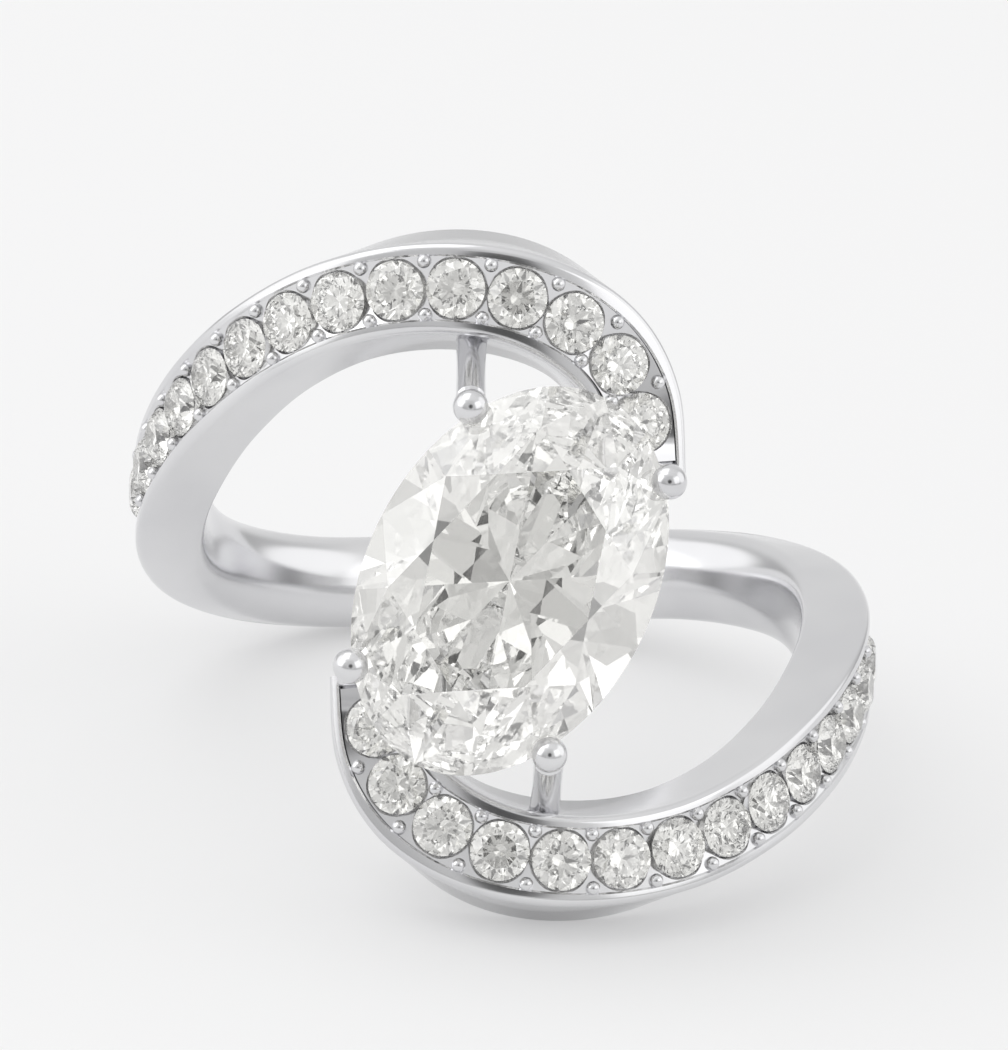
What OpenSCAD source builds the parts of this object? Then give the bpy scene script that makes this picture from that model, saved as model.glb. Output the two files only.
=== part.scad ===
// Bypass solitaire ring, lying on its side.
// The ring is worked out in its own frame, X across the hand, Y along the finger and Z up through the
// centre stone, with the finger's axis through the origin. lay_down() then tips it on its side.
// Turn is the angle round the finger from the back of the shank, and rise the distance along the finger.
// The lower arm is the upper one turned half round the centre stone's axis.

/* [Finger hole] */
// Inner diameter of the ring
finger_d = 17; // [16.9:0.1:18]

/* [Channel] */
// Width of the channel between the two rims
channel_w = 1.7; // [1.68:0.01:1.74]
// Depth of the channel below the rims
channel_d = 0.95; // [0.9:0.05:1.1]
// Turn at which the channel starts
channel_from = 90; // [88:1:90]

/* [Small stones] */
// Diameter of a small stone
small_d = 1.6; // [1.5:0.01:1.6]
// Distance from one small stone to the next along the arm
small_pitch = 1.7; // [1.69:0.01:1.7]
// Depth of the small stones' girdles below the rims
small_sink = 0.1; // [0.05:0.01:0.14]
// Small stones in each arm
small_count = 14; // [8:1:14]
// Diameter of the bead prongs between the small stones
prong_d = 0.38; // [0.34:0.02:0.4]

/* [Centre stone] */
// Length of the oval
stone_l = 10.9; // [10.6:0.1:11]
// Width of the oval
stone_w = 7.6; // [7.5:0.1:7.7]
// Lean of the oval's long axis away from the finger's axis
stone_turn = 27.5; // [25:0.5:30]
// Height of the girdle above the finger's axis
girdle_z = 12.5; // [12.4:0.1:12.7]

/* [Claws] */
// Diameter of the bead at a claw's tip
claw_bead_d = 0.96; // [0.9:0.02:1]
// Diameter of a claw's post at its foot
claw_foot_d = 0.88; // [0.84:0.02:0.92]
// Diameter of a claw's post where it meets its bead
claw_neck_d = 0.82; // [0.76:0.02:0.86]

/* [Hidden] */
SMALL = [for (i = [1:small_count]) str(i < 10 ? "0" : "", i)];
$fn = 24;

finger_r = finger_d / 2;
// Radius at which the arms are laid out flat
path_r = finger_r + 1;

// The upper arm's sections, from the back of the shank to the tip. Columns: turn, rise, slant, half
// width at the finger, half width at the outer edges, wall thickness, rounding at the finger, rounding
// outside. Slant is how far the finger's side stands out past the outer side, away from the ring's middle.
SECTIONS = [
    [0, 0, 0, 1.34, 1.34, 1.75, 0.92, 0.70],
    [18, -0.08, 0, 1.34, 1.34, 1.75, 0.92, 0.70],
    [36, -0.10, 0, 1.34, 1.35, 1.78, 0.90, 0.66],
    [54, 0.20, 0, 1.34, 1.40, 1.82, 0.78, 0.55],
    [72, 0.86, -0.02, 1.26, 1.36, 1.89, 0.50, 0.36],
    [90, 1.98, -0.04, 1.19, 1.24, 1.95, 0.27, 0.20],
    [107, 3.38, -0.06, 1.18, 1.19, 1.98, 0.18, 0.16],
    [123, 4.90, -0.04, 1.18, 1.19, 2.02, 0.16, 0.16],
    [138, 6.28, 0, 1.29, 1.18, 2.06, 0.16, 0.18],
    [153, 7.30, 0.04, 1.49, 1.19, 2.10, 0.16, 0.20],
    [168, 7.68, 0.06, 1.62, 1.22, 2.12, 0.16, 0.22],
    [182, 7.36, 0.10, 1.63, 1.27, 2.12, 0.16, 0.22],
    [193, 6.32, 0.18, 1.48, 1.29, 2.08, 0.16, 0.20],
    [199.3, 4.75, 0.10, 1.24, 1.20, 2.04, 0.16, 0.18],
    [200.9, 2.62, 0, 1.08, 1.10, 2.00, 0.16, 0.12]
];
TURN = 0;
RISE = 1;
SLANT = 2;
BASE = 3;
TOP = 4;
WALL = 5;
IN_ROUND = 6;
OUT_ROUND = 7;
LAST = len(SECTIONS) - 1;
// The rounding at the finger is this many times as wide as it is high
in_wide = 1.33;

// Rings of the swept band from one section of the table to the next
steps = 4;
// Share of a section over which the channel reaches its depth
channel_ramp = 0.25;
// Depth of the step along the rims where there is no channel
channel_trace = 0.02;
// The channel closes this share of a section before the tip
tip_wall = 0.12;

// A place t on the ring counts rows of the table along the upper arm, and back along the lower one
function unit(v) = v / norm(v);
function turned(r) = [for (i = [0:len(r) - 1]) i <= SLANT ? -r[i] : r[i]];
function row(i) =
    i < 0 ? turned(SECTIONS[-i]) :
    i > LAST ? 2 * SECTIONS[LAST] - SECTIONS[LAST - 1] :
    SECTIONS[i];
// Smooth curve from q to r, at share t, with neighbours p and s
function curve(p, q, r, s, t) =
    q + 0.5 * ((r - p) * t + (2 * p - 5 * q + 4 * r - s) * t ^ 2 + (3 * q - p - 3 * r + s) * t ^ 3);
function upper_section(t) =
    let (i = min(floor(t), LAST - 1))
    curve(row(i - 1), row(i), row(i + 1), row(i + 2), t - i);
function section_at(t) = t < 0 ? turned(upper_section(-t)) : upper_section(t);

// The arm's middle laid out flat at radius r, and the direction across it
function flat_at(t, r = path_r) =
    let (s = section_at(t))
    [s[TURN] * r * PI / 180, s[RISE]];
function across(t) =
    let (e = 0.01, h = unit(flat_at(min(LAST, t + e)) - flat_at(max(-LAST, t - e))))
    [-h.y, h.x];
// The point of the ring at flat place p, at a height above the finger
function wrap(p, high) =
    let (turn = p.x / path_r * 180 / PI, r = finger_r + high)
    [-r * sin(turn), p.y, -r * cos(turn)];

// Share of the channel's depth at place t
function place_of_turn(turn) = lookup(turn, [for (i = [0:LAST]) [SECTIONS[i][TURN], i]]);
channel_start = place_of_turn(channel_from);
function ramp(x) = max(0, min(1, x));
function channel_share(t) =
    ramp((abs(t) - channel_start) / channel_ramp) * ramp((LAST - tip_wall - abs(t)) / channel_ramp);

// One side of a section's outline, from the finger hole out to the channel, as [sideways, height]
function corner(c, wide, high, from) =
    [for (a = [from:30:from + 90]) c + [wide * cos(a), high * sin(a)]];
function one_side(s, groove) =
    let (
        flat = s[BASE] - in_wide * s[IN_ROUND],
        wall = min(channel_w / 2, s[TOP] - s[OUT_ROUND] - 0.02)
    )
    concat(
        [[0.5 * flat, 0]],
        corner([flat, s[IN_ROUND]], in_wide * s[IN_ROUND], s[IN_ROUND], -90),
        corner([s[TOP] - s[OUT_ROUND], s[WALL] - s[OUT_ROUND]], s[OUT_ROUND], s[OUT_ROUND], 0),
        [[wall, s[WALL] - 0.01]],
        [[wall, s[WALL] - groove]]
    );
function ring_of_points(t) =
    let (
        s = section_at(t),
        side = one_side(s, max(channel_trace, channel_d * channel_share(t))),
        n = len(side),
        outline = concat([[0, 0]], side, [for (i = [n - 1:-1:0]) [-side[i].x, side[i].y]]),
        middle = flat_at(t),
        sideways = across(t)
    )
    [for (p = outline) wrap(middle + sideways * (p.x + s[SLANT] * (1 - p.y / s[WALL])), p.y)];

// A solid through rings of points, closed at both ends
module skin(rings) {
    n = len(rings[0]);
    m = len(rings);
    polyhedron(
        points = [for (r = rings) each r],
        faces = concat(
            [[for (i = [0:n - 1]) i]],
            [[for (i = [n - 1:-1:0]) (m - 1) * n + i]],
            [for (j = [0:m - 2], i = [0:n - 1])
                let (a = j * n + i, b = j * n + (i + 1) % n)
                each [[a, a + n, b + n], [a, b + n, b]]]
        )
    );
}

// A brilliant of unit radius: the table, the crown's and the pavilion's facets meet at these points
table_r = 0.60;
crown_mid_r = 0.79;
pavilion_mid_r = 0.26;
function on_circle(r, turn, z) = [r * cos(turn), r * sin(turn), z];
// The bezels slope evenly from the table to the girdle, and the mains from the girdle to the culet
function bezel_z(r, crown) = crown * (1 - r * cos(22.5)) / (1 - table_r);
function main_z(r, pavilion) = -pavilion * (1 - r * cos(22.5));
function brilliant_points(crown, girdle, pavilion) =
    concat(
        [for (k = [0:7]) on_circle(table_r, 45 * k, girdle / 2 + crown)],
        [for (k = [0:7]) on_circle(crown_mid_r, 45 * k + 22.5, girdle / 2 + bezel_z(crown_mid_r, crown))],
        [for (k = [0:15]) on_circle(1, 22.5 * k, girdle / 2)],
        [for (k = [0:15]) on_circle(1, 22.5 * k, -girdle / 2)],
        [for (k = [0:7]) on_circle(pavilion_mid_r, 45 * k + 22.5, main_z(pavilion_mid_r, pavilion) - girdle / 2)],
        [[0, 0, -pavilion - girdle / 2]]
    );
// First point of each ring of points
MID = 8;
GIRDLE_TOP = 16;
GIRDLE_LOW = 32;
LOW_MID = 48;
CULET = 56;
brilliant_faces = concat(
    [[for (k = [0:7]) k]],
    [for (k = [0:7]) let (next = (k + 1) % 8, before = (k + 7) % 8, g = GIRDLE_TOP + 2 * k,
            after = GIRDLE_TOP + (2 * k + 2) % 16)
        each [[k, MID + k, next], [k, MID + before, g, MID + k], [MID + k, g, g + 1], [MID + k, g + 1, after]]],
    [for (k = [0:15]) let (next = (k + 1) % 16)
        [GIRDLE_TOP + k, GIRDLE_LOW + k, GIRDLE_LOW + next, GIRDLE_TOP + next]],
    [for (k = [0:7]) let (before = (k + 7) % 8, g = GIRDLE_LOW + 2 * k, after = GIRDLE_LOW + (2 * k + 2) % 16)
        each [[LOW_MID + k, g + 1, g], [LOW_MID + k, after, g + 1], [CULET, LOW_MID + k, g, LOW_MID + before]]]
);
// Cut stone of width w and length l about its girdle's middle. Heights are shares of the width.
module brilliant(w, l, crown, girdle, pavilion) {
    polyhedron(
        points = [for (p = brilliant_points(crown * w, girdle * w, pavilion * w)) [p.x * w / 2, p.y * l / 2, p.z]],
        faces = [for (f = brilliant_faces) [for (i = [len(f) - 1:-1:0]) f[i]]]
    );
}

// Heights of the stones' parts, as shares of their widths
small_crown = 0.15;
small_girdle = 0.03;
small_pavilion = 0.43;
stone_crown = 0.14;
stone_girdle = 0.03;
stone_pavilion = 0.44;
// The oval sits this far from the arms' middle, along the finger
stone_rise = -0.18;
// Foot and bead of each claw of the upper arm, and the share of the oval's offset that the bead follows.
// The first claw rises from under the arm's inner edge, and the second from the arm's tip.
CLAWS = [
    [[-0.98, 6.54, 8.98], [-1.04, 4.59, 12.85], 1],
    [[3.62, 2.76, 9.40], [4.20, 2.43, 12.85], 0]
];
function bead_of(c, lower) = c[1] + [0, c[2] * (lower ? -stone_rise : stone_rise), 0];

// The ring lies on its side: leant back from the centre stone's axis, and tipped to one side, until the
// lower arm and the back of the shank both touch the floor
lean = 23.08;
side_tip = -4.3;
function laid(p) =
    let (y = p.y * sin(lean) - p.z * cos(lean), z = p.y * cos(lean) + p.z * sin(lean))
    [p.x * cos(side_tip) + z * sin(side_tip), y, z * cos(side_tip) - p.x * sin(side_tip)];
band_laid = [for (i = [-LAST * steps:LAST * steps], p = ring_of_points(i / steps)) laid(p)];
function lowest(axis) = min([for (p = band_laid) p[axis]]);
function highest(axis) = max([for (p = band_laid) p[axis]]);
// A claw's bead stands out farthest in front
function bead_in_ring(c, lower) =
    let (b = bead_of(c, lower), side = lower ? -1 : 1)
    [side * b.x, side * b.y, b.z];
front = min([for (c = CLAWS, lower = [false, true]) laid(bead_in_ring(c, lower)).y]) - claw_bead_d / 2;
module lay_down() {
    translate([-(lowest(0) + highest(0)) / 2, -(front + highest(1)) / 2, -lowest(2)])
        rotate([90 - lean, side_tip, 0])
            children();
}
// Turns a part of the upper arm half round the stone's axis, to the lower arm
module in_arm(lower) {
    rotate([0, 0, lower ? 180 : 0])
        children();
}
// Puts a part that points along Z on the arm at place t, pointing away from the finger
module on_arm(t, high) {
    s = section_at(t);
    translate([0, s[RISE], 0])
        rotate([0, 180 + s[TURN], 0])
            translate([0, 0, finger_r + high])
                children();
}

// Lengths along the arm are measured at the small stones' girdles
girdle_r = finger_r + SECTIONS[LAST - 4][WALL];
fine = 20;
lengths = [
    for (i = 0, sum = 0; i <= LAST * fine;
        i = i + 1, sum = sum + norm(flat_at(i / fine, girdle_r) - flat_at((i - 1) / fine, girdle_r))) sum
];
function place_at_length(x) = lookup(x, [for (i = [0:LAST * fine]) [lengths[i], i / fine]]);
// Length of the channel before the first small stone
first_gap = 0.35;
channel_length = lookup(channel_start, [for (i = [0:LAST * fine]) [i / fine, lengths[i]]]);
first_stone = channel_length + first_gap + small_d / 2;
function stone_place(i) = place_at_length(first_stone + i * small_pitch);
// Turn of the arm's run against the hole's circle, in the arm's surface
function run_turn(t) = atan2(-across(t).x, across(t).y);

module small_stone(lower, i) {
    t = stone_place(i - 1);
    color("ghostwhite") lay_down() in_arm(lower) on_arm(t, section_at(t)[WALL] - small_sink)
        rotate([0, 0, run_turn(t)])
            brilliant(small_d, small_d, small_crown, small_girdle, small_pavilion);
}

module centre_cut(grow) {
    translate([0, stone_rise, girdle_z])
        rotate([0, 0, -stone_turn])
            brilliant(stone_w + grow, stone_l + grow, stone_crown, stone_girdle + grow / 10, stone_pavilion);
}
module centre_stone() {
    color("white") lay_down() centre_cut(0);
}

module claw(foot, bead) {
    run = bead - foot;
    turn = atan2(run.y, run.x);
    tip = acos(run.z / norm(run));
    translate(foot)
        rotate([0, tip, turn])
            cylinder(h = norm(run), d1 = claw_foot_d, d2 = claw_neck_d);
    translate(bead)
        sphere(d = claw_bead_d);
}
// Bead prong between two small stones, at one side of the channel
prong_out = 0.72;
prong_top = 0.12;
module prong(t, side) {
    turn = run_turn(t);
    s = section_at(t);
    on_arm(t, s[WALL] - channel_d - 0.05)
        rotate([0, 0, turn])
            translate([0, side * prong_out, 0])
                cylinder(h = channel_d + 0.05 + prong_top, d = prong_d, $fn = 8);
}
module arm_fittings(lower) {
    for (c = CLAWS) claw(c[0], bead_of(c, lower));
    for (i = [0:small_count - 2], side = [-1, 1])
        prong(place_at_length(first_stone + (i + 0.5) * small_pitch), side);
}
module band() {
    color("silver") lay_down() difference() {
        union() {
            skin([for (i = [-LAST * steps:LAST * steps]) ring_of_points(i / steps)]);
            for (lower = [false, true]) in_arm(lower) arm_fittings(lower);
        }
        centre_cut(0.1);
    }
}

band();
centre_stone();
for (i = [1:small_count]) {
    small_stone(false, i);
    small_stone(true, i);
}
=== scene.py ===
"""Looks of the bypass solitaire ring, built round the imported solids.

Lengths are in millimetres in the ring's own frame, X across the hand, Y along the finger and Z up
through the centre stone, until TO_ROW takes them to the row frame in metres.
"""

import math

import bmesh
import bpy
from mathutils import Matrix, Vector


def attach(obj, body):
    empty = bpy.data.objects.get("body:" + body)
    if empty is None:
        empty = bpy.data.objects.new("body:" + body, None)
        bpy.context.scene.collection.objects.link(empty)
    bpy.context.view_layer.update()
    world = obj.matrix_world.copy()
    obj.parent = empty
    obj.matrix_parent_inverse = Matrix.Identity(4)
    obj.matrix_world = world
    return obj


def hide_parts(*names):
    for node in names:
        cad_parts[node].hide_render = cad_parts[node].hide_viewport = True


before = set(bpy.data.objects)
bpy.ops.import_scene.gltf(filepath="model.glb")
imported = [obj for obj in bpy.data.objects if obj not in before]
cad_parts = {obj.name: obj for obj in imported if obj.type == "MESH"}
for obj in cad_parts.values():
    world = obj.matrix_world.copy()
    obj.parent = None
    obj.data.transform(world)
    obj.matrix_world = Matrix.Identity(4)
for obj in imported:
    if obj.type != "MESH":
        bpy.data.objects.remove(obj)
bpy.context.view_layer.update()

MM = 0.001

# Ring frame to row frame
LEAN = 23.08
SIDE_TIP = -4.3
REST_SHIFT = Vector((0.0103, 2.2201, 5.1530))
TIP_OVER = (
    Matrix.Rotation(math.radians(SIDE_TIP), 3, "Y")
    @ Matrix.Rotation(math.radians(90 - LEAN), 3, "X")
)
TO_ROW = (
    Matrix.Scale(MM, 4)
    @ Matrix.Translation(REST_SHIFT)
    @ TIP_OVER.to_4x4()
)
# The lower arm is the upper one after half a turn
HALF_TURN = Matrix.Rotation(math.pi, 4, "Z")
ARMS = (("upper", Matrix.Identity(4)), ("lower", HALF_TURN))

# Radius of the finger hole, and the one at which the arms are laid out flat
FINGER_R = 8.5
PATH_R = 9.5

# The upper arm's sections, from the back of the shank to the tip. Columns: turn, rise, slant, half
# width at the finger, half width at the outer edges, wall, rounding at the finger, rounding outside
SECTIONS = [
    (0, 0, 0, 1.34, 1.34, 1.75, 0.92, 0.70),
    (18, -0.08, 0, 1.34, 1.34, 1.75, 0.92, 0.70),
    (36, -0.10, 0, 1.34, 1.35, 1.78, 0.90, 0.66),
    (54, 0.20, 0, 1.34, 1.40, 1.82, 0.78, 0.55),
    (72, 0.86, -0.02, 1.26, 1.36, 1.89, 0.50, 0.36),
    (90, 1.98, -0.04, 1.19, 1.24, 1.95, 0.27, 0.20),
    (107, 3.38, -0.06, 1.18, 1.19, 1.98, 0.18, 0.16),
    (123, 4.90, -0.04, 1.18, 1.19, 2.02, 0.16, 0.16),
    (138, 6.28, 0, 1.29, 1.18, 2.06, 0.16, 0.18),
    (153, 7.30, 0.04, 1.49, 1.19, 2.10, 0.16, 0.20),
    (168, 7.68, 0.06, 1.62, 1.22, 2.12, 0.16, 0.22),
    (182, 7.36, 0.10, 1.63, 1.27, 2.12, 0.16, 0.22),
    (193, 6.32, 0.18, 1.48, 1.29, 2.08, 0.16, 0.20),
    (199.3, 4.75, 0.10, 1.24, 1.20, 2.04, 0.16, 0.18),
    (200.9, 2.62, 0, 1.08, 1.10, 2.00, 0.16, 0.12),
]
TURN, RISE, SLANT, BASE, TOP, WALL, IN_ROUND, OUT_ROUND = range(8)
LAST = len(SECTIONS) - 1
# The row where the arm reaches farthest along the finger. Its wall gives the height at which the
# stones are spaced
WIDEST = 10
# The rounding at the finger is this many times as wide as it is high
IN_WIDE = 1.33
# Share of a section to either side of a place that the arm's direction is taken over
NEARBY = 0.01

# Channel: width and depth, the turn where it begins, the share of a section over which it reaches
# its depth, and the share of a section before the tip where it closes
CHANNEL_W = 1.7
CHANNEL_D = 0.95
CHANNEL_FROM = 90
CHANNEL_RAMP = 0.25
TIP_WALL = 0.12
# Bevel along the rims, the narrowest rim, and the lowest step that is still drawn along the rims
RIM_EDGE = 0.05
RIM_LEAST = 0.02
STEP_LEAST = 0.001
# Prongs and seats reach this far below the rims
FOOTING = CHANNEL_D * 0.9

# The band's mesh: rings from one section to the next, steps round the two roundings, shares of the
# flat at the finger and of the channel's floor where points stand, and the least angle, in degrees,
# of an edge that is left sharp
RINGS_PER_SECTION = 14
IN_ROUND_STEPS = 12
OUT_ROUND_STEPS = 8
FLAT_SHARES = (0.25, 0.5, 0.75)
FLOOR_SHARES = (0.66, 0.33)
SHARP_ANGLE = 34
# Points nearer each other than this are joined
MERGE = 1e-5

# Small stones: diameter, pitch, depth of the girdle below the rims, number in each arm, the gap from
# the channel's start to the first, and crown, girdle and pavilion as shares of the diameter
SMALL_D = 1.6
SMALL_PITCH = 1.7
SMALL_SINK = 0.1
SMALL_COUNT = 14
FIRST_GAP = 0.35
SMALL_CUT = (0.15, 0.03, 0.43)

# Prongs: distance from the channel's middle, radii of bead and post, height of the widening under
# the bead, height over the rims, and how finely they are turned
PRONG_OUT = 0.72
PRONG_R = 0.195
PRONG_POST_R = PRONG_R * 0.9
PRONG_WIDENING = 0.06
PRONG_TOP = 0.12
PRONG_STEPS = 6
PRONG_SIDES = 16

# Seats: metal left standing between the small stones, its top's depth below the rims at the wall and
# its slope towards the stones, the clear space round each stone, the bevel and the steps to a stone
SEAT_DEPTH = 0.05
SEAT_SLOPE = 0.35
SEAT_CLEAR = 0.03
SEAT_BEVEL = 0.05
SEAT_STEPS = 16
# How far the seats of the two walls run past the channel's middle where no stone parts them
SEAT_LAP = 0.005
# How far a seat reaches into the wall, how near its edge comes to the wall beside a stone, and the
# share of a section by which it ends before the channel does
SEAT_IN_WALL = 0.03
SEAT_LEAST = 0.004
SEAT_SHORT = 0.02

# Centre stone
STONE_L = 10.9
STONE_W = 7.6
STONE_TURN = 27.5
STONE_RISE = -0.18
GIRDLE_Z = 12.5
STONE_CUT = (0.14, 0.03, 0.44)

# Claws of the upper arm: foot, bead, and the share of the oval's offset that the bead follows
CLAWS = [
    (Vector((-0.98, 6.54, 8.98)), Vector((-1.04, 4.59, 12.85)), 1),
    (Vector((3.62, 2.76, 9.40)), Vector((4.20, 2.43, 12.85)), 0),
]
CLAW_BEAD_R = 0.475
CLAW_FOOT_R = 0.44
CLAW_NECK_R = 0.40
# How far the post curves in, the neck's depth below the bead's middle as a share of the bead's
# radius, and the share of that depth at which the bead begins
CLAW_HOLLOW = 0.03
CLAW_NECK_DEPTH = 0.95
CLAW_BEAD_FROM = 0.78
CLAW_POST_STEPS = 8
CLAW_BEAD_STEPS = 12
CLAW_SIDES = 32
# The claws are notched for a stone this much wider and longer, with a girdle this share thicker
NOTCH = 0.1
NOTCH_GIRDLE = 0.01

# A brilliant of unit radius: radii of the table and of the points where the crown's and the
# pavilion's facets meet, the number of times that the facets repeat, and girdle sides to each half
# of a repeat
TABLE_R = 0.60
CROWN_MID_R = 0.79
PAVILION_MID_R = 0.26
FOLD = 8
EACH_TURN = 360 / FOLD
GIRDLE_PARTS = 6


# The band's formulas, the same as its solid's. A place t on the ring counts rows of the table along
# the upper arm, and back along the lower one

def turned(r):
    """A section of one arm as the other arm has it."""
    return tuple(-v if i <= SLANT else v for i, v in enumerate(r))


def row(i):
    """Row i of the table, carried on past both its ends."""
    if i < 0:
        return turned(SECTIONS[-i])
    if i > LAST:
        return tuple(2 * a - b for a, b in zip(SECTIONS[LAST], SECTIONS[LAST - 1]))
    return SECTIONS[i]


def curve(p, q, r, s, t):
    """Smooth curve from q to r, at share t, with neighbours p and s."""
    linear = (r - p) * t
    square = (2 * p - 5 * q + 4 * r - s) * t**2
    cube = (3 * q - p - 3 * r + s) * t**3
    return q + 0.5 * (linear + square + cube)


def upper_section(t):
    i = min(math.floor(t), LAST - 1)
    rows = [row(i + k) for k in (-1, 0, 1, 2)]
    return tuple(curve(*(r[c] for r in rows), t - i) for c in range(len(SECTIONS[0])))


def section_at(t):
    return turned(upper_section(-t)) if t < 0 else upper_section(t)


def flat_at(t, r=PATH_R):
    """The arm's middle at place t, laid out flat at radius r."""
    s = section_at(t)
    return Vector((math.radians(s[TURN]) * r, s[RISE]))


def along(t):
    """Direction of the arm laid out flat."""
    return (flat_at(min(LAST, t + NEARBY)) - flat_at(max(-LAST, t - NEARBY))).normalized()


def wrap(p, high):
    """The point of the ring at flat place p, at a height above the finger."""
    turn = p.x / PATH_R
    r = FINGER_R + high
    return Vector((-r * math.sin(turn), p.y, -r * math.cos(turn)))


def lookup(x, pairs):
    """Value at x on the straight lines through the pairs, which go up in x."""
    for (x0, y0), (x1, y1) in zip(pairs, pairs[1:]):
        if x <= x1:
            return y0 + (y1 - y0) * (x - x0) / (x1 - x0)
    return pairs[-1][1]


def clamp(x):
    return max(0.0, min(1.0, x))


CHANNEL_START = lookup(CHANNEL_FROM, [(r[TURN], i) for i, r in enumerate(SECTIONS)])
CHANNEL_END = LAST - TIP_WALL


def channel_share(t):
    """Share of the channel's depth at place t."""
    begun = clamp((abs(t) - CHANNEL_START) / CHANNEL_RAMP)
    left = clamp((CHANNEL_END - abs(t)) / CHANNEL_RAMP)
    return begun * left


# Lengths along the upper arm, at the height at which the stones are spaced, and their places
FINE = 20
SPACING_R = FINGER_R + SECTIONS[WIDEST][WALL]
PLACES = [(0.0, 0.0)]
for n in range(1, LAST * FINE + 1):
    stretch = flat_at(n / FINE, SPACING_R) - flat_at((n - 1) / FINE, SPACING_R)
    PLACES.append((PLACES[-1][0] + stretch.length, n / FINE))


def place_at(length):
    """Place on the upper arm at a length along it."""
    return lookup(length, PLACES)


def length_at(t):
    """Length along the upper arm to place t."""
    return lookup(t, [(place, length) for length, place in PLACES])


# Lengths to the channel's start and to the first and the last stone
CHANNEL_LENGTH = length_at(CHANNEL_START)
FIRST_STONE = CHANNEL_LENGTH + FIRST_GAP + SMALL_D / 2
LAST_STONE = FIRST_STONE + (SMALL_COUNT - 1) * SMALL_PITCH


def stone_place(i):
    """Place of small stone i, counted from 0, or of the middle between two stones at half numbers."""
    return place_at(FIRST_STONE + i * SMALL_PITCH)


def on_arm(t, high):
    """Frame on the upper arm at place t: Z away from the finger, X along the arm."""
    s = section_at(t)
    run = along(t)
    return (
        Matrix.Translation((0, s[RISE], 0))
        @ Matrix.Rotation(math.radians(180 + s[TURN]), 4, "Y")
        @ Matrix.Translation((0, 0, FINGER_R + high))
        @ Matrix.Rotation(math.atan2(run.y, run.x), 4, "Z")
    )


def under_rims(t, depth):
    """Frame on the upper arm at place t, at a depth below the rims."""
    return on_arm(t, section_at(t)[WALL] - depth)


def small_stone_seat(i):
    return under_rims(stone_place(i), SMALL_SINK)


def centre_stone_seat():
    return (
        Matrix.Translation((0, STONE_RISE, GIRDLE_Z))
        @ Matrix.Rotation(math.radians(-STONE_TURN), 4, "Z")
    )


# Meshes

def arc(centre, r, start, end, count, wide=1):
    """Points of an arc whose width is wide times its height."""
    turns = [math.radians(start + (end - start) * i / count) for i in range(count + 1)]
    return [
        Vector((centre[0] + wide * r * math.cos(a), centre[1] + r * math.sin(a)))
        for a in turns
    ]


def one_side(s, groove):
    """Half of a section, from the finger's wall out to the channel's floor, as (sideways, height)."""
    flat = s[BASE] - IN_WIDE * s[IN_ROUND]
    high = s[WALL]
    wall = min(CHANNEL_W / 2, s[TOP] - s[OUT_ROUND] - RIM_LEAST)
    bevel = min(RIM_EDGE, max(groove, STEP_LEAST) / 2)
    inner = (flat, s[IN_ROUND])
    outer = (s[TOP] - s[OUT_ROUND], high - s[OUT_ROUND])
    return (
        [Vector((flat * share, 0)) for share in FLAT_SHARES]
        + arc(inner, s[IN_ROUND], -90, 0, IN_ROUND_STEPS, IN_WIDE)
        + arc(outer, s[OUT_ROUND], 0, 90, OUT_ROUND_STEPS)
        + [Vector((wall + bevel, high)), Vector((wall, high - bevel)), Vector((wall, high - groove))]
        + [Vector((wall * share, high - groove)) for share in FLOOR_SHARES]
    )


def ring_of_points(t):
    s = section_at(t)
    side = one_side(s, CHANNEL_D * channel_share(t))
    other_side = [Vector((-p.x, p.y)) for p in reversed(side)]
    outline = [Vector((0, 0)), *side, Vector((0, side[-1].y)), *other_side]
    middle = flat_at(t)
    run = along(t)
    sideways = Vector((-run.y, run.x))
    return [
        wrap(middle + sideways * (p.x + s[SLANT] * (1 - p.y / s[WALL])), p.y)
        for p in outline
    ]


def add_sweep(bm, rings):
    """A body through rings of points, closed at both ends."""
    loops = [[bm.verts.new(p) for p in ring] for ring in rings]
    n = len(rings[0])
    for a, b in zip(loops, loops[1:]):
        for i in range(n):
            k = (i + 1) % n
            bm.faces.new((a[i], a[k], b[k], b[i]))
    bm.faces.new(list(reversed(loops[0])))
    bm.faces.new(loops[-1])


def add_turning(bm, profile, place, sides):
    """A body turned round Z from [(radius, height)], closed with a point at both ends."""
    turns = [2 * math.pi * i / sides for i in range(sides)]
    loops = []
    for r, z in profile:
        points = [(r * math.cos(a), r * math.sin(a), z) for a in turns] if r else [(0, 0, z)]
        loops.append([bm.verts.new(place @ Vector(p)) for p in points])
    for a, b in zip(loops, loops[1:]):
        for i in range(sides):
            k = (i + 1) % sides
            corners = [a[i % len(a)], a[k % len(a)], b[k % len(b)], b[i % len(b)]]
            bm.faces.new(list(dict.fromkeys(corners)))


def dome(r, z, start, steps):
    """Profile of a ball round height z, from angle start up to the point at its top."""
    turns = [start + (math.pi / 2 - start) * i / steps for i in range(steps)]
    return [(r * math.cos(a), z + r * math.sin(a)) for a in turns] + [(0, z + r)]


def pointing(start, end):
    """Frame at start with Z towards end."""
    return Matrix.Translation(start) @ (end - start).to_track_quat("Z", "Y").to_matrix().to_4x4()


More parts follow.
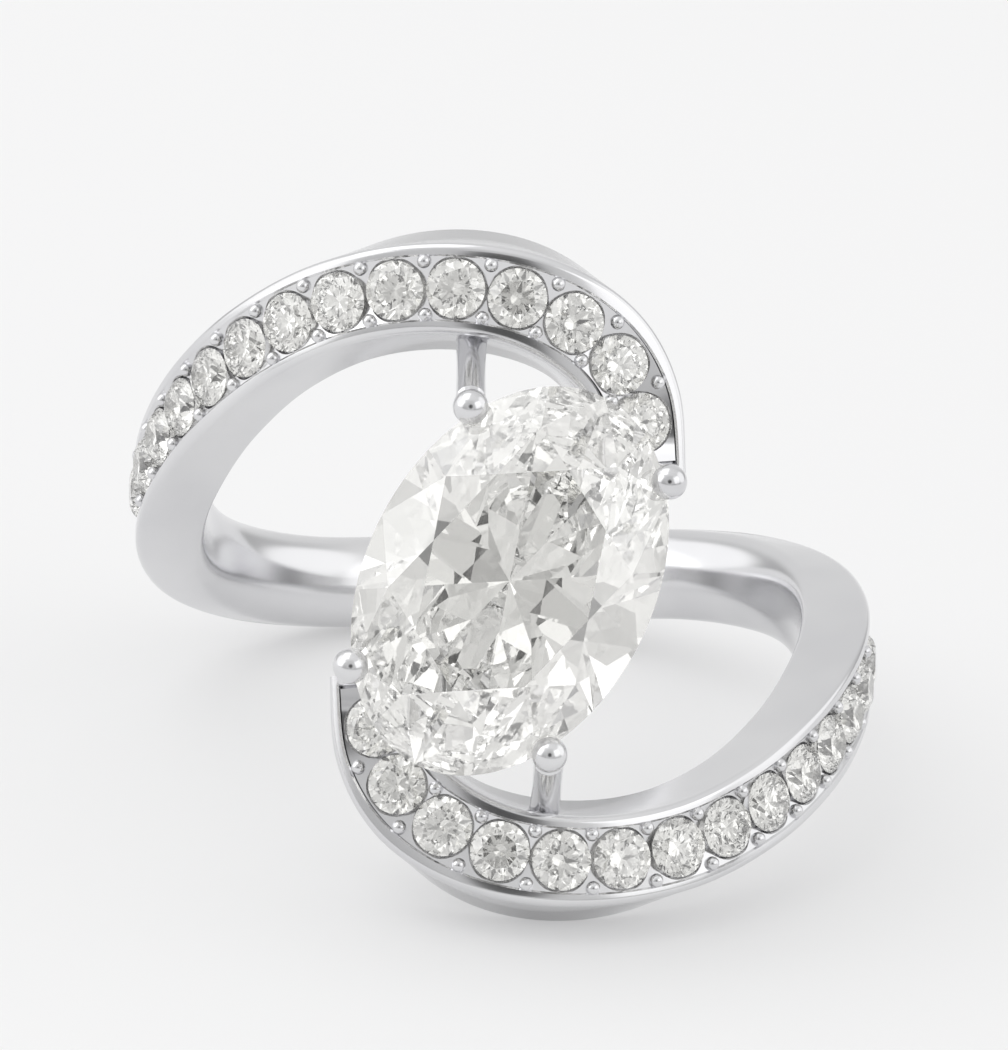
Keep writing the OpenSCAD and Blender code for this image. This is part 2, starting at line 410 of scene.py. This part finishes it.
def add_claw(bm, foot, bead, place):
    """Tapering post that curves in a little, with a round bead at its tip."""
    length = (bead - foot).length
    neck = length - CLAW_BEAD_R * CLAW_NECK_DEPTH
    profile = [(0, 0), (CLAW_FOOT_R, 0)]
    for i in range(1, CLAW_POST_STEPS + 1):
        share = i / CLAW_POST_STEPS
        hollow = CLAW_HOLLOW * math.sin(math.pi * share)
        profile.append((CLAW_FOOT_R + (CLAW_NECK_R - CLAW_FOOT_R) * share - hollow, neck * share))
    start = -math.asin(CLAW_NECK_DEPTH * CLAW_BEAD_FROM)
    profile += dome(CLAW_BEAD_R, length, start, CLAW_BEAD_STEPS)
    add_turning(bm, profile, place @ pointing(foot, bead), CLAW_SIDES)


def add_prong(bm, t, side, place):
    """Round bead on a short post at one wall of the channel, between two small stones."""
    ball = FOOTING + PRONG_TOP - PRONG_R
    profile = [(0, 0), (PRONG_POST_R, 0), (PRONG_POST_R, ball - PRONG_WIDENING)]
    profile += dome(PRONG_R, ball, 0, PRONG_STEPS)
    foot = under_rims(t, FOOTING) @ Matrix.Translation((0, side * PRONG_OUT, 0))
    add_turning(bm, profile, place @ foot, PRONG_SIDES)


def seat_edge(here, side, centres):
    """Distance from the channel's middle to the seat's edge, at the frame here on the arm."""
    to_here = here.inverted()
    edge = -SEAT_LAP
    for centre in centres:
        c = to_here @ centre
        reach = (SMALL_D / 2 + SEAT_CLEAR) ** 2 - c.x**2
        if reach > 0:
            edge = max(edge, side * c.y + math.sqrt(reach))
    return min(edge, CHANNEL_W / 2 - SEAT_LEAST)


def seat_slope(length):
    """Slope of the seat's top, which goes level by the far edge of the first and of the last stone."""
    past = max(FIRST_STONE - length, length - LAST_STONE)
    return SEAT_SLOPE * clamp((SMALL_D / 2 - past) / (SMALL_D / 4))


def add_seats(bm, side, place):
    """Strip of metal along one wall of the channel, cut to the round of each small stone."""
    centres = [small_stone_seat(i).translation for i in range(SMALL_COUNT)]
    wall = CHANNEL_W / 2 + SEAT_IN_WALL
    step = SMALL_PITCH / SEAT_STEPS
    steps = math.floor((length_at(CHANNEL_END - SEAT_SHORT) - CHANNEL_LENGTH) / step)
    rings = []
    for n in range(steps + 1):
        length = CHANNEL_LENGTH + n * step
        here = under_rims(place_at(length), 0)
        edge = seat_edge(here, side, centres)
        slope = seat_slope(length)
        bevel = min(SEAT_BEVEL, (wall - edge) / 2, max(edge, SEAT_LAP))
        low = -SEAT_DEPTH - slope * (wall - edge)
        outline = [
            (edge, -FOOTING),
            (edge, low - bevel),
            (edge + bevel, low + slope * bevel),
            (wall, -SEAT_DEPTH),
            (wall, -FOOTING),
        ]
        rings.append([place @ here @ Vector((0, side * y, z)) for y, z in outline])
    add_sweep(bm, rings)


def object_from(bm, name):
    """New object in the scene with the mesh of bm, which is freed."""
    mesh = bpy.data.meshes.new(name)
    bm.to_mesh(mesh)
    bm.free()
    obj = bpy.data.objects.new(name, mesh)
    bpy.context.scene.collection.objects.link(obj)
    return obj


def finish_piece(bm, name, place, smooth):
    bmesh.ops.remove_doubles(bm, verts=bm.verts, dist=MERGE)
    bmesh.ops.recalc_face_normals(bm, faces=bm.faces)
    bm.transform(place)
    piece = object_from(bm, name)
    if smooth:
        piece.data.shade_smooth()
        piece.data.set_sharp_from_angle(angle=math.radians(SHARP_ANGLE))
    return piece


def add_cut(bm, body, cutter):
    """Add to bm the mesh body less the mesh cutter, both of which are used up."""
    for part in (body, cutter):
        bmesh.ops.recalc_face_normals(part, faces=part.faces)
    whole, tool = object_from(body, "body"), object_from(cutter, "cutter")
    cut = whole.modifiers.new("cut", "BOOLEAN")
    cut.operation = "DIFFERENCE"
    cut.object = tool
    cut.solver = "EXACT"
    result = whole.evaluated_get(bpy.context.evaluated_depsgraph_get())
    bm.from_mesh(result.to_mesh())
    result.to_mesh_clear()
    for obj in (whole, tool):
        mesh = obj.data
        bpy.data.objects.remove(obj)
        bpy.data.meshes.remove(mesh)


def add_claws(bm):
    """The four claws, notched where they hold the centre stone."""
    posts = bmesh.new()
    for side, (_, place) in zip((1, -1), ARMS):
        for foot, bead, follow in CLAWS:
            add_claw(posts, foot, bead + Vector((0, side * follow * STONE_RISE, 0)), place)
    room = bmesh.new()
    crown, girdle, pavilion = STONE_CUT
    add_brilliant(room, STONE_W + NOTCH, STONE_L + NOTCH, (crown, girdle + NOTCH_GIRDLE, pavilion))
    room.transform(centre_stone_seat())
    add_cut(bm, posts, room)


def make_band():
    bm = bmesh.new()
    count = LAST * RINGS_PER_SECTION
    add_sweep(bm, [ring_of_points(i / RINGS_PER_SECTION) for i in range(-count, count + 1)])
    add_claws(bm)
    for _, place in ARMS:
        for i in range(SMALL_COUNT - 1):
            for side in (-1, 1):
                add_prong(bm, stone_place(i + 0.5), side, place)
        for side in (-1, 1):
            add_seats(bm, side, place)
    return finish_piece(bm, "polished_band", TO_ROW, smooth=True)


def on_circle(r, turn, z):
    a = math.radians(turn)
    return Vector((r * math.cos(a), r * math.sin(a), z))


def plane_height(points, x, y):
    """Height over (x, y) of the plane through three points."""
    a, b, c = points
    normal = (b - a).cross(c - a)
    return a.z - (normal.x * (x - a.x) + normal.y * (y - a.y)) / normal.z


def add_brilliant(bm, w, l, cut):
    """Round or oval brilliant: flat facets that meet a girdle of many sides in its scalloped edge."""
    crown, girdle, pavilion = cut
    half = girdle / 2
    half_each = EACH_TURN / 2
    cos_mid = math.cos(math.radians(half_each))
    crown_mid_z = half + crown * (1 - CROWN_MID_R * cos_mid) / (1 - TABLE_R)
    low_mid_z = -half - pavilion * (1 - PAVILION_MID_R * cos_mid)

    table = [on_circle(TABLE_R, EACH_TURN * k, half + crown) for k in range(FOLD)]
    crown_mids = [on_circle(CROWN_MID_R, EACH_TURN * k + half_each, crown_mid_z) for k in range(FOLD)]
    low_mids = [on_circle(PAVILION_MID_R, EACH_TURN * k + half_each, low_mid_z) for k in range(FOLD)]
    culet = Vector((0, 0, -half - pavilion))

    # The girdle's edges follow the planes of the facets that meet it
    each = 2 * GIRDLE_PARTS
    upper, lower = [], []
    for j in range(FOLD * each):
        k = j // each
        first = EACH_TURN * k + (half_each if j % each >= GIRDLE_PARTS else 0)
        a = on_circle(1, EACH_TURN * j / each, 0)
        ends = [on_circle(1, first, 0), on_circle(1, first + half_each, 0)]
        up = [crown_mids[k]] + [e + Vector((0, 0, half)) for e in ends]
        down = [low_mids[k]] + [e - Vector((0, 0, half)) for e in ends]
        upper.append(Vector((a.x, a.y, plane_height(up, a.x, a.y))))
        lower.append(Vector((a.x, a.y, plane_height(down, a.x, a.y))))

    def verts(points):
        return [bm.verts.new((p.x * w / 2, p.y * l / 2, p.z * w)) for p in points]

    table, crown_mids, low_mids = verts(table), verts(crown_mids), verts(low_mids)
    upper, lower, (culet,) = verts(upper), verts(lower), verts([culet])
    n = len(upper)
    add_face = bm.faces.new
    add_face(table)
    for k in range(FOLD):
        start, middle, end = each * k, each * k + GIRDLE_PARTS, each * (k + 1)
        add_face((table[k], crown_mids[k], table[(k + 1) % FOLD]))
        add_face((table[k], crown_mids[k - 1], upper[start], crown_mids[k]))
        add_face([crown_mids[k]] + [upper[j % n] for j in range(start, middle + 1)])
        add_face([crown_mids[k]] + [upper[j % n] for j in range(middle, end + 1)])
        add_face([low_mids[k]] + [lower[j % n] for j in range(middle, start - 1, -1)])
        add_face([low_mids[k]] + [lower[j % n] for j in range(end, middle - 1, -1)])
        add_face((culet, low_mids[k], lower[start], low_mids[k - 1]))
    for j in range(n):
        k = (j + 1) % n
        add_face((upper[j], lower[j], lower[k], upper[k]))


def make_stone(name, w, l, cut, place):
    bm = bmesh.new()
    add_brilliant(bm, w, l, cut)
    return finish_piece(bm, name, TO_ROW @ place, smooth=False)


# Materials

def new_material(name):
    mat = bpy.data.materials.new(name)
    mat.use_nodes = True
    tree = mat.node_tree
    return mat, tree, tree.nodes["Principled BSDF"]


def object_place(tree):
    return tree.nodes.new("ShaderNodeTexCoord").outputs["Object"]


def noise(tree, where, scale, detail=2):
    node = tree.nodes.new("ShaderNodeTexNoise")
    node.inputs["Scale"].default_value = scale
    node.inputs["Detail"].default_value = detail
    tree.links.new(where, node.inputs["Vector"])
    return node.outputs["Fac"]


def stretched(tree, where, scale):
    node = tree.nodes.new("ShaderNodeMapping")
    node.inputs["Scale"].default_value = scale
    tree.links.new(where, node.inputs["Vector"])
    return node.outputs["Vector"]


def between(tree, share, low, high):
    """Value from low to high as share goes from 0 to 1."""
    node = tree.nodes.new("ShaderNodeMapRange")
    node.inputs["To Min"].default_value = low
    node.inputs["To Max"].default_value = high
    tree.links.new(share, node.inputs["Value"])
    return node.outputs["Result"]


def shade(tree, share, low, high, ends=(0, 1)):
    """Colour from low to high as share goes from the first of the ends to the second."""
    node = tree.nodes.new("ShaderNodeValToRGB")
    for stop, position, colour in zip(node.color_ramp.elements, ends, (low, high)):
        stop.position = position
        stop.color = (*colour, 1)
    tree.links.new(share, node.inputs["Fac"])
    return node.outputs["Color"]


def bumps(tree, height, strength, distance):
    node = tree.nodes.new("ShaderNodeBump")
    node.inputs["Strength"].default_value = strength
    node.inputs["Distance"].default_value = distance
    tree.links.new(height, node.inputs["Height"])
    return node.outputs["Normal"]


def white_gold():
    """Polished white gold: a bright neutral mirror with faint polishing marks."""
    mat, tree, shader = new_material("white_gold")
    where = object_place(tree)
    clouds = noise(tree, where, scale=260)
    marks = noise(tree, stretched(tree, where, (1, 1, 9)), scale=900, detail=4)
    tint = shade(tree, clouds, (0.70, 0.70, 0.715), (0.76, 0.76, 0.77), ends=(0.35, 0.65))
    rough = between(tree, clouds, 0.14, 0.22)
    normal = bumps(tree, marks, strength=0.02, distance=0.00002)
    shader.inputs["Metallic"].default_value = 1
    tree.links.new(tint, shader.inputs["Base Color"])
    tree.links.new(rough, shader.inputs["Roughness"])
    tree.links.new(normal, shader.inputs["Normal"])
    return mat


def diamond():
    """Clear cut stone, with the faintest clouds in its colour and polish, and fine polishing lines."""
    mat, tree, shader = new_material("diamond")
    where = object_place(tree)
    clouds = noise(tree, where, scale=320)
    lines = noise(tree, where, scale=2600)
    tint = shade(tree, clouds, (0.87, 0.865, 0.83), (0.90, 0.895, 0.87))
    rough = between(tree, clouds, 0.0, 0.02)
    normal = bumps(tree, lines, strength=0.1, distance=0.000002)
    shader.inputs["Transmission Weight"].default_value = 1
    shader.inputs["IOR"].default_value = 2.42
    tree.links.new(tint, shader.inputs["Base Color"])
    tree.links.new(rough, shader.inputs["Roughness"])
    tree.links.new(normal, shader.inputs["Normal"])
    return mat


def floor_white():
    """Matt white sheet that glows a little, painted light that lightens the ring's shadows on it, very
    faintly uneven.
    """
    mat, tree, shader = new_material("floor_white")
    clouds = noise(tree, object_place(tree), scale=14)
    tint = shade(tree, clouds, (0.585, 0.585, 0.59), (0.605, 0.605, 0.605))
    shader.inputs["Roughness"].default_value = 0.9
    shader.inputs["Specular IOR Level"].default_value = 0.1
    # The glow is painted light: it lightens the shadows that the ring casts on the floor, and the base
    # colour is kept low to make up for it
    shader.inputs["Emission Color"].default_value = (1, 1, 1, 1)
    shader.inputs["Emission Strength"].default_value = 0.29
    tree.links.new(tint, shader.inputs["Base Color"])
    return mat


# The scene round the ring

# Camera: distance from the ring's middle, its turns about the ring's X and Y in degrees, and the
# pixel of the photograph that the ring's middle falls on
CAMERA_AWAY = 170
CAMERA_TILT = 0.3
CAMERA_YAW = -0.9
PHOTO = (1008, 1050)
PIXELS_PER_MM = 35.06
RING_PIXEL = (502.5, 576.5)
SENSOR = 36

# Softboxes: name, place and size in metres, power in watts
SOFTBOXES = [
    ("key", (-0.20, 0.06, 0.42), (0.42, 0.30), 0.30),
    ("front_fill", (0.30, -0.25, 0.22), (0.28, 0.32), 0.20),
    ("left_strip", (-0.34, -0.10, 0.17), (0.24, 0.30), 0.18),
]
LIGHT_AIM = Vector((0, 0, 0.008))
FLOOR_HALF = 1.5

# The tent: brightness at each height, from level up to overhead
TENT = [(0.0, 0.55), (0.15, 0.62), (0.45, 0.78), (1.0, 1.05)]
TENT_STRENGTH = 0.88
# Cards round the table: towards (x, y, z), half angle and soft edge in degrees, brightness
CARDS = [
    ((0.0, -0.85, 0.52), 22, 14, 0.80),
    ((-0.03, -0.92, 0.39), 10, 6, 0.08),
    ((0.91, 0.12, 0.42), 20, 12, 1.40),
    ((-0.91, 0.17, 0.40), 22, 12, 1.45),
    ((0.0, 0.95, 0.30), 24, 18, 0.95),
]
# Light bounces many times inside a cut stone before it leaves
BOUNCES = 40


def make_camera():
    """Camera along the centre stone's axis, framed as the photograph is."""
    facing = (
        TIP_OVER
        @ Matrix.Rotation(math.radians(CAMERA_YAW), 3, "Y")
        @ Matrix.Rotation(math.radians(CAMERA_TILT), 3, "X")
    )
    right, up, back = facing.col[0], facing.col[1], facing.col[2]
    focus = PIXELS_PER_MM * CAMERA_AWAY
    aim = (
        -back
        + right * ((PHOTO[0] / 2 - RING_PIXEL[0]) / focus)
        + up * ((RING_PIXEL[1] - PHOTO[1] / 2) / focus)
    ).normalized()
    side = aim.cross(up).normalized()
    turn = Matrix((side, side.cross(aim), -aim)).transposed()
    data = bpy.data.cameras.new("camera")
    data.sensor_width = SENSOR
    data.lens = focus / max(PHOTO) * SENSOR
    data.clip_start = 0.005
    data.clip_end = 20
    camera = bpy.data.objects.new("camera", data)
    camera.matrix_world = Matrix.Translation((REST_SHIFT + back * CAMERA_AWAY) * MM) @ turn.to_4x4()
    bpy.context.scene.collection.objects.link(camera)
    bpy.context.scene.camera = camera


def make_world():
    """A pale tent, brighter overhead, with soft cards of light and shade round the table."""
    world = bpy.data.worlds.new("studio")
    world.use_nodes = True
    nodes, links = world.node_tree.nodes, world.node_tree.links
    where = nodes.new("ShaderNodeTexCoord").outputs["Generated"]
    parts = nodes.new("ShaderNodeSeparateXYZ")
    links.new(where, parts.inputs["Vector"])
    ramp = nodes.new("ShaderNodeValToRGB")
    stops = ramp.color_ramp.elements
    stops.remove(stops[1])
    for i, (position, grey) in enumerate(TENT):
        stop = stops.new(position) if i else stops[0]
        stop.position = position
        stop.color = (grey, grey, grey, 1)
    links.new(parts.outputs["Z"], ramp.inputs["Fac"])
    colour = ramp.outputs["Color"]
    for towards, half_angle, edge, grey in CARDS:
        nearness = nodes.new("ShaderNodeVectorMath")
        nearness.operation = "DOT_PRODUCT"
        nearness.inputs[1].default_value = Vector(towards).normalized()
        share = nodes.new("ShaderNodeMapRange")
        share.interpolation_type = "SMOOTHSTEP"
        share.inputs["From Min"].default_value = math.cos(math.radians(half_angle + edge))
        share.inputs["From Max"].default_value = math.cos(math.radians(half_angle))
        mix = nodes.new("ShaderNodeMixRGB")
        mix.inputs["Color2"].default_value = (grey, grey, grey, 1)
        links.new(where, nearness.inputs[0])
        links.new(nearness.outputs["Value"], share.inputs["Value"])
        links.new(share.outputs["Result"], mix.inputs["Fac"])
        links.new(colour, mix.inputs["Color1"])
        colour = mix.outputs["Color"]
    background = nodes["Background"]
    background.inputs["Strength"].default_value = TENT_STRENGTH
    links.new(colour, background.inputs["Color"])
    bpy.context.scene.world = world


def make_floor():
    bm = bmesh.new()
    bmesh.ops.create_grid(bm, x_segments=4, y_segments=4, size=FLOOR_HALF)
    floor = object_from(bm, "floor")
    floor.data.materials.append(floor_white())


def make_softbox(name, place, size, power):
    """Area light that faces the ring."""
    data = bpy.data.lights.new(name, "AREA")
    data.shape = "RECTANGLE"
    data.size, data.size_y = size
    data.energy = power
    light = bpy.data.objects.new(name, data)
    light.location = place
    light.rotation_euler = (LIGHT_AIM - Vector(place)).to_track_quat("-Z", "Y").to_euler()
    bpy.context.scene.collection.objects.link(light)


def dress():
    gold, clear = white_gold(), diamond()
    band = make_band()
    band.data.materials.append(gold)
    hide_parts("band")
    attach(band, "root")

    centre = make_stone("centre_stone_cut", STONE_W, STONE_L, STONE_CUT, centre_stone_seat())
    stones = [("centre_stone", centre)]
    for arm, place in ARMS:
        for i in range(SMALL_COUNT):
            node = f"{arm}_stone_{i + 1:02d}"
            seat = place @ small_stone_seat(i)
            stones.append((node, make_stone(node + "_cut", SMALL_D, SMALL_D, SMALL_CUT, seat)))
    for node, stone in stones:
        stone.data.materials.append(clear)
        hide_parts(node)
        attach(stone, "root")


make_camera()
make_world()
make_floor()
for name, place, size, power in SOFTBOXES:
    make_softbox(name, place, size, power)
dress()

scene = bpy.context.scene
scene.view_settings.view_transform = "Standard"
scene.cycles.max_bounces = BOUNCES
scene.cycles.transmission_bounces = BOUNCES
scene.cycles.glossy_bounces = BOUNCES
